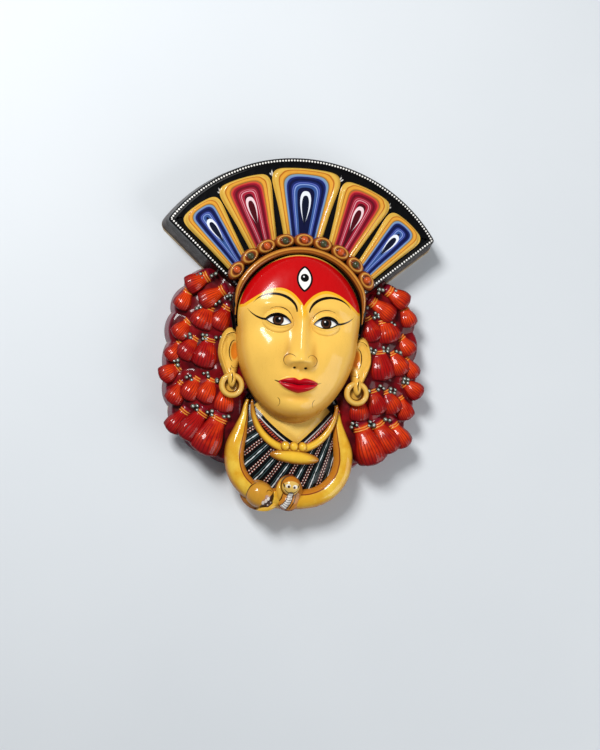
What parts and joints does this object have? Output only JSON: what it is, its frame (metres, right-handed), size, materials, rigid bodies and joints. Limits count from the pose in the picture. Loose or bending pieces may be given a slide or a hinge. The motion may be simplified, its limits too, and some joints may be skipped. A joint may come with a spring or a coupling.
{
  "type": "festival mask",
  "caption": "Moulded papier mache mask of a young goddess: calm face, fan crown with petals, beaded brow, tasselled hair, ear rings and a collar of snakes, with an open flat back.",
  "frame": {"origin": "middle of the bounding box at the plane of the flat back rim", "axes": "+X to the right of someone facing the mask, +Y towards the top of the crown, +Z out of the face, away from the open back"},
  "size_m": [0.2736, 0.3498, 0.0798],
  "materials": {
    "lacquer": "gloss"
  },
  "bodies": {
    "root": {"mask": "lacquer"}
  },
  "joints": []
}
